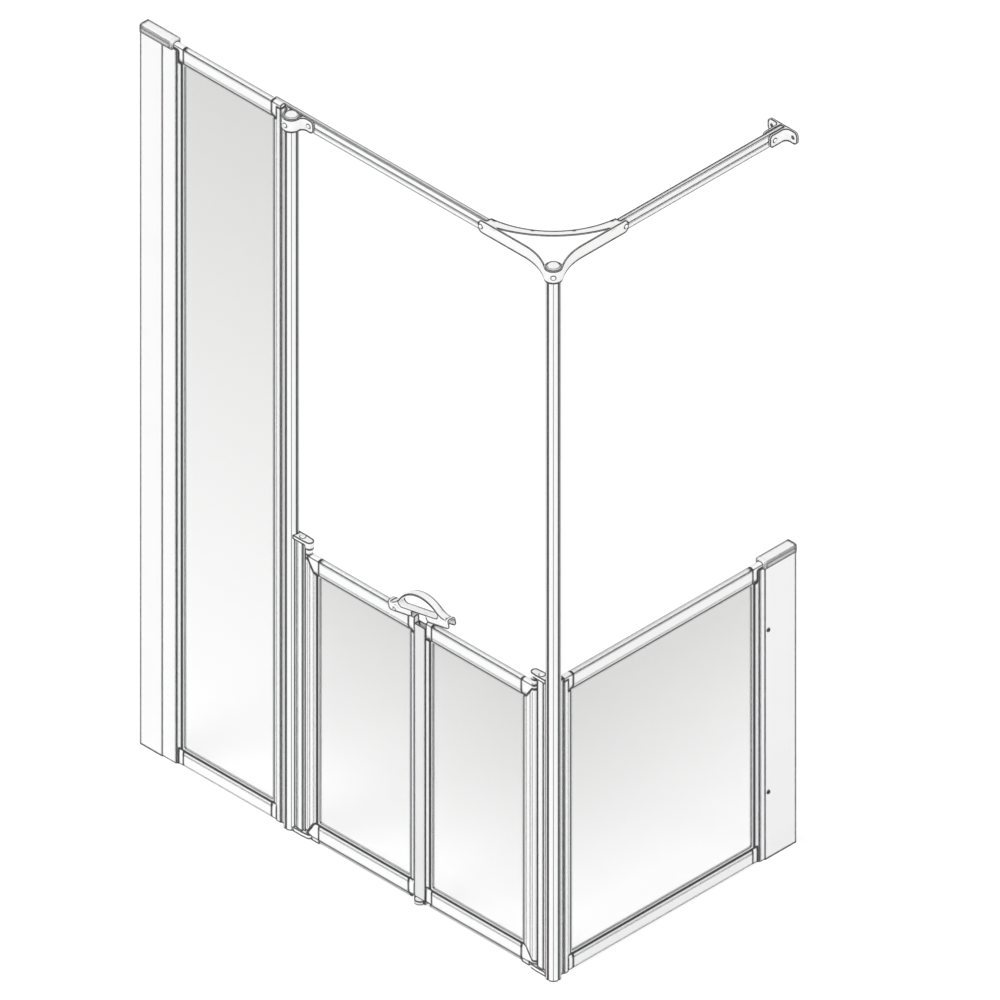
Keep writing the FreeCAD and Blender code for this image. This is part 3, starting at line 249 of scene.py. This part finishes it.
def skin_group():
    """Fine grain of a coated or moulded surface, with a slow drift of tone."""
    sockets = [("Color", "NodeSocketColor", (1, 1, 1, 1)), ("Drift", "NodeSocketColor", (0.9, 0.9, 0.9, 1)),
               ("Grain", "NodeSocketFloat", 900.0), ("Drift Scale", "NodeSocketFloat", 6.0),
               ("Drift Share", "NodeSocketFloat", 0.5), ("Roughness", "NodeSocketFloat", 0.4),
               ("Roughness Swing", "NodeSocketFloat", 0.1)]
    tree, given, result = new_group(
        "skin", sockets,
        COLOUR_OUT + [("Roughness", "NodeSocketFloat"), ("Height", "NodeSocketFloat")])
    place = own_place(tree)
    fine = noise(tree, place, given.outputs["Grain"], GRAIN_DETAIL)
    slow = noise(tree, place, given.outputs["Drift Scale"], DRIFT_DETAIL)
    share = math_node(tree, "MULTIPLY", ramp(tree, slow, *DRIFT_BAND), given.outputs["Drift Share"])
    colour = blend_colour(tree, share, given.outputs["Color"], given.outputs["Drift"])
    swing = math_node(tree, "MULTIPLY", math_node(tree, "SUBTRACT", slow, NOISE_MIDDLE),
                      given.outputs["Roughness Swing"])
    rough = math_node(tree, "ADD", given.outputs["Roughness"], swing)
    tree.links.new(colour, result.inputs["Color"])
    tree.links.new(rough, result.inputs["Roughness"])
    tree.links.new(fine, result.inputs["Height"])
    return tree


edge_line = edge_line_group()
far_line = far_line_group()
round_line = round_line_group()
tube_line = tube_line_group()
skin = skin_group()


# Finishes

RELIEF_DEPTH = 0.0002
COAT_ROUGHNESS = 0.2
PLAIN_SPECULAR = 0.2
METAL_SPECULAR = 0.5
PANE_FOOT = (0.985, 0.985, 0.985, 1)
PANE_GREEN_DROP = 0.004         # the tint at a pane's top is a little warm
PANE_BLUE_DROP = 0.007
PANE_IOR = 1.45
FILM_SCALE = 9.0
FILM_DETAIL = 3.0
FILM_BAND = (0.3, 0.8)
FILM_ROUGHNESS = 0.05


def grey(tone, cold=0.0):
    return tone, tone, tone + cold, 1


def new_finish(name):
    finish = bpy.data.materials.new(name)
    finish.use_nodes = True
    tree = finish.node_tree
    return finish, tree, tree.nodes["Principled BSDF"]


def show_shader(tree, shader):
    tree.links.new(shader, tree.nodes["Material Output"].inputs["Surface"])


def place_group(tree, group, **values):
    node = tree.nodes.new("ShaderNodeGroup")
    node.node_tree = group
    for label, value in values.items():
        node.inputs[label.replace("_", " ")].default_value = value
    return node


def grained(name, colour, drift, rough, grain, bump, lines, coat=0.0, metal=0.0):
    """A coated, moulded, rubbery or metal finish: grain, slow drift of tone and dark lines, each line a group
    with its settings."""
    finish, tree, shader = new_finish(name)
    surface = place_group(tree, skin, Color=colour, Drift=drift, Grain=grain, Roughness=rough)
    shown = surface.outputs["Color"]
    for group, settings in lines:
        line = place_group(tree, group, **settings)
        tree.links.new(shown, line.inputs["Color"])
        shown = line.outputs["Color"]
    tree.links.new(shown, shader.inputs["Base Color"])
    tree.links.new(surface.outputs["Roughness"], shader.inputs["Roughness"])
    relief = tree.nodes.new("ShaderNodeBump")
    relief.inputs["Strength"].default_value = bump
    relief.inputs["Distance"].default_value = RELIEF_DEPTH
    tree.links.new(surface.outputs["Height"], relief.inputs["Height"])
    tree.links.new(relief.outputs["Normal"], shader.inputs["Normal"])
    shader.inputs["Metallic"].default_value = metal
    shader.inputs["Specular IOR Level"].default_value = METAL_SPECULAR if metal else PLAIN_SPECULAR
    shader.inputs["Coat Weight"].default_value = coat
    shader.inputs["Coat Roughness"].default_value = COAT_ROUGHNESS
    return finish


def coating(name, lines):
    """White powder coating of the extrusions."""
    return grained(name, grey(0.93), grey(0.90, 0.005), rough=0.42, grain=1400.0, bump=0.12, lines=lines)


def moulding(name, lines, rough=0.33):
    """White moulded plastic."""
    return grained(name, grey(0.94, -0.005), grey(0.91), rough, grain=2200.0, bump=0.06, lines=lines,
                   coat=0.1)


def rubber(name, colour, drift, lines, rough=0.5, bump=0.15):
    return grained(name, colour, drift, rough, grain=1800.0, bump=bump, lines=lines)


def bare_metal(name, colour, drift, lines, rough):
    return grained(name, colour, drift, rough, grain=2500.0, bump=0.1, lines=lines, metal=1.0)


def pane(name, low, high, deep):
    """Clear glass with a grey tint that deepens from the pane's foot to its top."""
    finish, tree, shader = new_finish(name)
    place = own_place(tree)
    rise = ramp(tree, parts_of(tree, place)["Z"], low, high)
    top = (deep, deep - PANE_GREEN_DROP, deep - PANE_BLUE_DROP, 1)
    tint = blend_colour(tree, rise, PANE_FOOT, top)
    tree.links.new(tint, shader.inputs["Base Color"])
    film = noise(tree, place, FILM_SCALE, FILM_DETAIL)
    tree.links.new(ramp(tree, film, *FILM_BAND, 0.0, FILM_ROUGHNESS), shader.inputs["Roughness"])
    shader.inputs["IOR"].default_value = PANE_IOR
    shader.inputs["Transmission Weight"].default_value = 1.0
    clear = tree.nodes.new("ShaderNodeBsdfTransparent")
    tree.links.new(tint, clear.inputs["Color"])
    both = tree.nodes.new("ShaderNodeMixShader")
    tree.links.new(tree.nodes.new("ShaderNodeLightPath").outputs["Is Shadow Ray"], both.inputs["Fac"])
    tree.links.new(shader.outputs["BSDF"], both.inputs[1])
    tree.links.new(clear.outputs["BSDF"], both.inputs[2])
    show_shader(tree, both.outputs["Shader"])
    return finish


OUTLINED = [(edge_line, {"Width": 0.005}), (far_line, {"Width": 0.009})]
white_coat = coating("white_coat", OUTLINED)
frame_coat = coating("frame_coat", [(edge_line, {"Width": 0.006}),
                                    (far_line, {"Width": 0.016, "Rise": 0.4})])
post_coat = coating("post_coat", [(edge_line, {"Width": 0.0018}), (tube_line, {})])
rail_coat = coating("rail_coat", [(edge_line, {"Width": 0.004, "Least": 0.012}),
                                  (far_line, {"Width": 0.006})])
white_moulding = moulding("white_moulding", OUTLINED)
cap_moulding = moulding("cap_moulding", [(edge_line, {"Width": 0.0036, "Least": 0.03}),
                                         (far_line, {"Width": 0.012})])
grip_moulding = moulding("grip_moulding", [(round_line, {}), (far_line, {"Width": 0.008}),
                                           (far_line, {"Width": 0.005})], rough=0.3)
grey_gasket = rubber("grey_gasket", grey(0.76, 0.005), grey(0.70, 0.005), [(edge_line, {"Width": 0.004})],
                     rough=0.6, bump=0.2)
pale_seal = rubber("pale_seal", grey(0.80), grey(0.74, 0.005), [(edge_line, {"Width": 0.005})])
sweep_rubber = rubber("sweep_rubber", grey(0.88), grey(0.84, 0.005), [(edge_line, {"Width": 0.0075})])
# near-black rings that stand for the painted shadow round the bright screw heads
black_shadow_washer = rubber("black_shadow_washer", grey(0.03, 0.002), grey(0.045, 0.002), [], rough=0.6)
steel = bare_metal("steel", grey(0.90, 0.005), grey(0.84, 0.005), [], rough=0.35)
dark_steel = bare_metal("dark_steel", grey(0.10, 0.005), grey(0.07, 0.005), [(edge_line, {"Width": 0.0028})],
                        rough=0.4)
tall_pane = pane("tall_pane", low=-0.1, high=1.75, deep=0.632)
low_pane = pane("low_pane", low=0.0, high=0.67, deep=0.66)

MOULDED_ENDINGS = ("caps", "cap", "plugs", "bushes", "bracket", "brackets", "clip", "handle")


def finish_of(node):
    """The finish of a CAD node, by its name."""
    if node.endswith("glass"):
        return tall_pane if node.startswith("tall") else low_pane
    if node.endswith("gasket"):
        return grey_gasket
    if node.endswith("sweep_seal"):
        return sweep_rubber
    if "seal" in node:
        return pale_seal
    if node.endswith(("screws", "pins", "pin")):
        return steel
    if node.endswith("wall_cap"):
        return cap_moulding
    if node.endswith(MOULDED_ENDINGS):
        return white_moulding
    if node.endswith("post"):
        return post_coat
    if node.endswith("curtain_rail"):
        return rail_coat
    if "stile" in node or node.endswith(("top_rail", "bottom_rail")):
        return frame_coat
    return white_coat


def paint(piece, finish):
    piece.data.materials.clear()
    piece.data.materials.append(finish)


for node_name in nodes:
    paint(nodes[node_name], finish_of(node_name))


# Tools for the modelled pieces

NEAR = 0.0005     # closer than this is the same place


def nothing_selected():
    if bpy.context.object and bpy.context.object.mode != "OBJECT":
        bpy.ops.object.mode_set(mode="OBJECT")
    bpy.ops.object.select_all(action="DESELECT")


def only(piece):
    nothing_selected()
    piece.select_set(True)
    bpy.context.view_layer.objects.active = piece


def settle():
    """Take a new primitive's place, turn and scale into its mesh."""
    bpy.ops.object.transform_apply(location=True, rotation=True, scale=True)


def pick(piece, kind, wanted):
    """Select the faces (by middle and normal) or the edges (by their two ends) of a piece that answer to
    wanted, and go to edit mode."""
    only(piece)
    bpy.ops.object.mode_set(mode="EDIT")
    bpy.ops.mesh.select_mode(type=kind)
    bpy.ops.mesh.select_all(action="DESELECT")
    bpy.ops.object.mode_set(mode="OBJECT")
    mesh = piece.data
    if kind == "FACE":
        for face in mesh.polygons:
            face.select = wanted(face.center, face.normal)
    else:
        for edge in mesh.edges:
            first, last = edge.vertices
            edge.select = wanted(mesh.vertices[first].co, mesh.vertices[last].co)
    bpy.ops.object.mode_set(mode="EDIT")


def apply_modifier(piece, kind, **settings):
    only(piece)
    modifier = piece.modifiers.new(kind.lower(), kind)
    for name, value in settings.items():
        setattr(modifier, name, value)
    bpy.ops.object.modifier_apply(modifier=modifier.name)


def smooth_faces(piece, angle):
    only(piece)
    bpy.ops.object.shade_smooth_by_angle(angle=angle)


def done(piece, finish, slot, body, *stands_for):
    """Finish a piece: its own material, its body, and the nodes that it stands for."""
    only(piece)
    paint(piece, finish)
    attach(piece, body)
    if stands_for:
        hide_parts(*stands_for)


# Screws, and dark washers that paint the shadow round the bright screw heads

SMALL_HEAD_R = 0.0045
PIVOT_HEAD_R = 0.0058
HEAD_H = 0.0025
HEAD_ROUND = 0.62         # share of the head's height that its rounding takes
HEAD_SIDES = 40
SHANK_R = 0.0016
SHANK_L = 0.009
RECESS_SPAN = 1.05        # cross recess against the head's radius
RECESS_W = 0.0011
RECESS_DEEP = 0.9         # height of the recess cutter, against the head's height
LOOKS_DOWN = -0.9         # normal of the head's underside
ARRIS = 0.00012
SHARP = 0.6               # edges that turn further than this stay sharp in the shading
# the washers are dark rims that paint the shadow gap round a bright screw's head
SHADOW_WASHER_RIM = 0.0017
SHADOW_WASHER_SIDES = 48
RAIL_SHADOW_WASHER_T = 0.0009
PIVOT_SHADOW_WASHER_T = 0.0006
SHADOW_WASHER_ARRIS = 0.3        # share of its thickness
FIRST_TURN = 0.5
NEXT_TURN = 1.3           # each screw of a set stops at another angle

# Ways that a shank points
FRONT = (0, -1, 0)
BACK = (0, 1, 0)
LEFT = (-1, 0, 0)
DOWN = (0, 0, -1)
SLANT = math.sqrt(0.5)

# Places of the screws
CHANNEL_FACE = 0.0125     # middle of a wall channel to the face that takes its screws
TALL_CHANNEL_X = -1.106
TALL_CHANNEL_HEIGHTS = (0.167, 0.9, 1.633)
SIDE_CHANNEL_Y = 0.611
SIDE_CHANNEL_HEIGHTS = (0.167, 0.574)
RAIL_SCREW_Z = 1.7705
MID_POST_X = -0.760
CLIP_REACH = 0.037        # mid post to the screws of the clip's two lugs
CLIP_FACE = 0.0125
COLLAR_FACE = 0.01898     # post axis to the seat of a collar's screw
ARM_REACH = 0.222         # corner post to the screws in the corner bracket's arms
ARM_FACE = 0.0110
WALL_LUG_Y = 0.654
WALL_LUG_FACE = 0.0113
PIVOT_SCREW_XS = (-0.727, -0.033)
PIVOT_SCREW_Z = 0.744


def pan_head(head_r):
    """One cross-head screw, head up, with the underside of its head at the origin."""
    nothing_selected()
    bpy.ops.mesh.primitive_cylinder_add(vertices=HEAD_SIDES, radius=head_r, depth=HEAD_H,
                                        location=(0, 0, HEAD_H / 2))
    screw = bpy.context.object
    settle()
    pick(screw, "EDGE", lambda first, last: min(first.z, last.z) > HEAD_H - NEAR)
    bpy.ops.mesh.bevel(offset=HEAD_H * HEAD_ROUND, segments=6, profile=0.5)
    pick(screw, "FACE", lambda middle, normal: normal.z < LOOKS_DOWN)
    bpy.ops.mesh.inset(thickness=head_r - SHANK_R)
    bpy.ops.mesh.extrude_region_move(TRANSFORM_OT_translate={"value": (0, 0, -SHANK_L)})
    for turn in (0.0, math.pi / 2):
        nothing_selected()
        bpy.ops.mesh.primitive_cube_add(size=1, location=(0, 0, HEAD_H), rotation=(0, 0, turn))
        cutter = bpy.context.object
        cutter.scale = (head_r * RECESS_SPAN, RECESS_W, HEAD_H * RECESS_DEEP)
        settle()
        apply_modifier(screw, "BOOLEAN", object=cutter, operation="DIFFERENCE", solver="EXACT")
        bpy.data.objects.remove(cutter)
    apply_modifier(screw, "BEVEL", width=ARRIS, segments=2, limit_method="ANGLE", angle_limit=SHARP)
    smooth_faces(screw, SHARP)
    return screw


def shadow_washer(head_r, thick):
    """One thin dark washer that shows as a rim round a screw's head, a painted shadow ring, with its underside
    at the origin.
    """
    nothing_selected()
    bpy.ops.mesh.primitive_cylinder_add(vertices=SHADOW_WASHER_SIDES, radius=head_r + SHADOW_WASHER_RIM, depth=thick,
                                        location=(0, 0, thick / 2))
    ring = bpy.context.object
    settle()
    apply_modifier(ring, "BEVEL", width=thick * SHADOW_WASHER_ARRIS, segments=2, limit_method="ANGLE",
                   angle_limit=SHARP)
    smooth_faces(ring, SHARP)
    return ring


def fastener_set(name, pattern, spots, finish, slot, *stands_for):
    """Copies of one screw or shadow washer, joined to one piece on the frame. Each spot has the place of its
    underside and the way that its shank points."""
    copies = []
    for count, (place, way) in enumerate(spots):
        copy = pattern.copy()
        copy.data = pattern.data.copy()
        bpy.context.scene.collection.objects.link(copy)
        stop = Matrix.Rotation(FIRST_TURN + NEXT_TURN * count, 4, "Z")
        aim = Vector(DOWN).rotation_difference(Vector(way)).to_matrix().to_4x4()
        copy.data.transform(Matrix.Translation(Vector(place)) @ aim @ stop)
        copies.append(copy)
    nothing_selected()
    for copy in copies:
        copy.select_set(True)
    bpy.context.view_layer.objects.active = copies[0]
    bpy.ops.object.join()
    copies[0].name = name
    done(copies[0], finish, slot, "frame", *stands_for)


def channel_spots():
    tall = [((TALL_CHANNEL_X, CHANNEL_FACE, z), FRONT) for z in TALL_CHANNEL_HEIGHTS]
    side = [((CHANNEL_FACE, SIDE_CHANNEL_Y, z), LEFT) for z in SIDE_CHANNEL_HEIGHTS]
    return tall + side


def rail_spots():
    """Clip on the mid post, corner bracket and wall bracket of the curtain rails."""
    z = RAIL_SCREW_Z
    clip = [((MID_POST_X - CLIP_REACH, CLIP_FACE, z), BACK), ((MID_POST_X + CLIP_REACH, CLIP_FACE, z), BACK),
            ((MID_POST_X, -COLLAR_FACE, z), BACK)]
    corner = [((-ARM_REACH, ARM_FACE, z), BACK), ((-ARM_FACE, ARM_REACH, z), LEFT),
              ((COLLAR_FACE * SLANT, -COLLAR_FACE * SLANT, z), (-SLANT, SLANT, 0))]
    return clip + corner + [((-WALL_LUG_FACE, WALL_LUG_Y, z), LEFT)]


def fix_screws():
    """All the screws, and dark washers under the bright ones that paint a shadow ring round their heads."""
    small = pan_head(SMALL_HEAD_R)
    wide = pan_head(PIVOT_HEAD_R)
    rail_ring = shadow_washer(SMALL_HEAD_R, RAIL_SHADOW_WASHER_T)
    pivot_ring = shadow_washer(PIVOT_HEAD_R, PIVOT_SHADOW_WASHER_T)
    rail = rail_spots()
    pivots = [((x, 0, PIVOT_SCREW_Z), DOWN) for x in PIVOT_SCREW_XS]
    fastener_set("channel_screw_set", small, channel_spots(), dark_steel, "steel", "channel_screws")
    fastener_set("rail_screw_set", small, rail, steel, "steel", "rail_screws")
    # dark washers under the bright heads: painted shadow rings
    fastener_set("rail_shadow_washer_set", rail_ring, rail, black_shadow_washer, "seal_rubber")
    fastener_set("pivot_screw_set", wide, pivots, steel, "steel", "pivot_screws")
    fastener_set("pivot_shadow_washer_set", pivot_ring, pivots, black_shadow_washer, "seal_rubber")
    for pattern in (small, wide, rail_ring, pivot_ring):
        bpy.data.objects.remove(pattern)


# Glazing gaskets

GASKET_W = 0.0134
LIP_ROUND = 0.0018
LIP_SMOOTH = 0.7


def bead(name, node, body):
    """Glazing gasket: a mitred frame with rounded lips on both faces of the glass."""
    low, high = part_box(node)
    middle = (low + high) / 2
    size = high - low
    on_side = size.x < size.y
    thick, along = (0, 1) if on_side else (1, 0)
    upright = (0, math.pi / 2, 0) if on_side else (math.pi / 2, 0, 0)
    nothing_selected()
    bpy.ops.mesh.primitive_plane_add(size=1, location=middle, rotation=upright)
    ring = bpy.context.object
    ring.name = name
    ring.scale = (size.z, size.y, 1) if on_side else (size.x, size.z, 1)
    settle()
    pick(ring, "FACE", lambda centre, normal: True)
    bpy.ops.mesh.inset(thickness=GASKET_W)
    bpy.ops.mesh.delete(type="FACE")
    apply_modifier(ring, "SOLIDIFY", thickness=size[thick], offset=0.0)
    sight_low = low + Vector((GASKET_W - NEAR,) * 3)
    sight_high = high - Vector((GASKET_W - NEAR,) * 3)

    def round_sight(point):
        return (sight_low[along] < point[along] < sight_high[along]
                and sight_low.z < point.z < sight_high.z)

    def on_lip(first, last):
        return abs(first[thick] - last[thick]) <= NEAR and round_sight(first) and round_sight(last)

    pick(ring, "EDGE", on_lip)
    bpy.ops.mesh.bevel(offset=LIP_ROUND, segments=5, profile=0.5)
    smooth_faces(ring, LIP_SMOOTH)
    done(ring, grey_gasket, "seal_rubber", body, node)


# Latch handle

MERGE = 0.00001
SOFT_GRID = 0.0009
SOFT_FACTOR = 0.5
SOFT_ROUNDS = 7


def moulded_handle():
    """The latch handle with the soft edges of a moulding."""
    source = nodes["latch_handle"]
    soft = source.copy()
    soft.data = source.data.copy()
    for key in list(soft.keys()):
        del soft[key]
    soft.parent = None
    bpy.context.scene.collection.objects.link(soft)
    soft.name = "soft_handle"
    only(soft)
    bpy.ops.object.mode_set(mode="EDIT")
    bpy.ops.mesh.select_all(action="SELECT")
    bpy.ops.mesh.remove_doubles(threshold=MERGE)
    bpy.ops.object.mode_set(mode="OBJECT")
    apply_modifier(soft, "REMESH", mode="VOXEL", voxel_size=SOFT_GRID)
    apply_modifier(soft, "SMOOTH", factor=SOFT_FACTOR, iterations=SOFT_ROUNDS)
    only(soft)
    bpy.ops.object.shade_smooth()
    done(soft, grip_moulding, "white_plastic", "latch", "latch_handle")


fix_screws()
for panel, carrier in (("tall", "frame"), ("side", "frame"), ("left", "left_door"), ("right", "right_door")):
    bead(panel + "_bead", panel + "_glazing_gasket", carrier)
moulded_handle()


# Studio

FLOOR_SPAN = 24.0
FLOOR_TONES = (grey(0.82), grey(0.80))
FLOOR_PATCHES = 3.0
FLOOR_DETAIL = 2.0
FLOOR_ROUGHNESS = 0.9
FLOOR_SEEN = grey(0.5)
FLOOR_GLOW = 0.60
WORLD_LIGHT = 0.62
WORLD_SEEN = 1.0
SCREEN_MIDDLE = Vector((-0.5, 0.1, 0.9))
CAMERA_AIM = Vector((-0.07745, -0.07745, 1.1997))
CAMERA_OFF = 6.0
CAMERA_SPAN = 2.0513
CAMERA_END = 100.0


def studio_floor():
    """White floor that takes the screen's shadow. What is seen of it is partly lit and partly its own glow."""
    nothing_selected()
    bpy.ops.mesh.primitive_plane_add(size=FLOOR_SPAN, location=(0, 0, 0))
    floor = bpy.context.object
    floor.name = "studio_floor"
    finish, tree, shader = new_finish("floor_white")
    patches = noise(tree, own_place(tree), FLOOR_PATCHES, FLOOR_DETAIL)
    tone = blend_colour(tree, patches, *FLOOR_TONES)
    seen = seen_rays(tree)
    tree.links.new(blend_colour(tree, seen, tone, FLOOR_SEEN), shader.inputs["Base Color"])
    shader.inputs["Roughness"].default_value = FLOOR_ROUGHNESS
    shader.inputs["Specular IOR Level"].default_value = 0.0
    glow = tree.nodes.new("ShaderNodeEmission")
    tree.links.new(math_node(tree, "MULTIPLY", seen, FLOOR_GLOW), glow.inputs["Strength"])
    both = tree.nodes.new("ShaderNodeAddShader")
    tree.links.new(shader.outputs["BSDF"], both.inputs[0])
    tree.links.new(glow.outputs["Emission"], both.inputs[1])
    show_shader(tree, both.outputs["Shader"])
    floor.data.materials.append(finish)


def studio_world():
    """White all round, with less light on the screen than it shows."""
    world = bpy.data.worlds.new("studio")
    bpy.context.scene.world = world
    world.use_nodes = True
    tree = world.node_tree
    back = tree.nodes["Background"]
    back.inputs["Color"].default_value = (1, 1, 1, 1)
    strength = ramp(tree, seen_rays(tree), 0.0, 1.0, WORLD_LIGHT, WORLD_SEEN)
    tree.links.new(strength, back.inputs["Strength"])


def soft_lamp(name, place, strength, spread):
    """A wide, even lamp that shines from its place towards the middle of the screen."""
    nothing_selected()
    bpy.ops.object.light_add(type="SUN", location=place)
    lamp = bpy.context.object
    lamp.name = name
    lamp.data.energy = strength
    lamp.data.angle = math.radians(spread)
    lamp.rotation_euler = (SCREEN_MIDDLE - Vector(place)).to_track_quat("-Z", "Y").to_euler()


def studio_camera():
    nothing_selected()
    bpy.ops.object.camera_add(location=CAMERA_AIM + CAMERA_OFF * SHOW_CORNER)
    camera = bpy.context.object
    camera.rotation_euler = (-SHOW_CORNER).to_track_quat("-Z", "Y").to_euler()
    camera.data.type = "ORTHO"
    camera.data.ortho_scale = CAMERA_SPAN
    camera.data.clip_end = CAMERA_END
    bpy.context.scene.camera = camera


studio_floor()
studio_world()
soft_lamp("key_lamp", place=(-2.2, -4.2, 4.2), strength=1.15, spread=50.0)
soft_lamp("fill_lamp", place=(4.2, -0.8, 3.0), strength=1.0, spread=70.0)
studio_camera()
bpy.context.scene.view_settings.view_transform = "Standard"
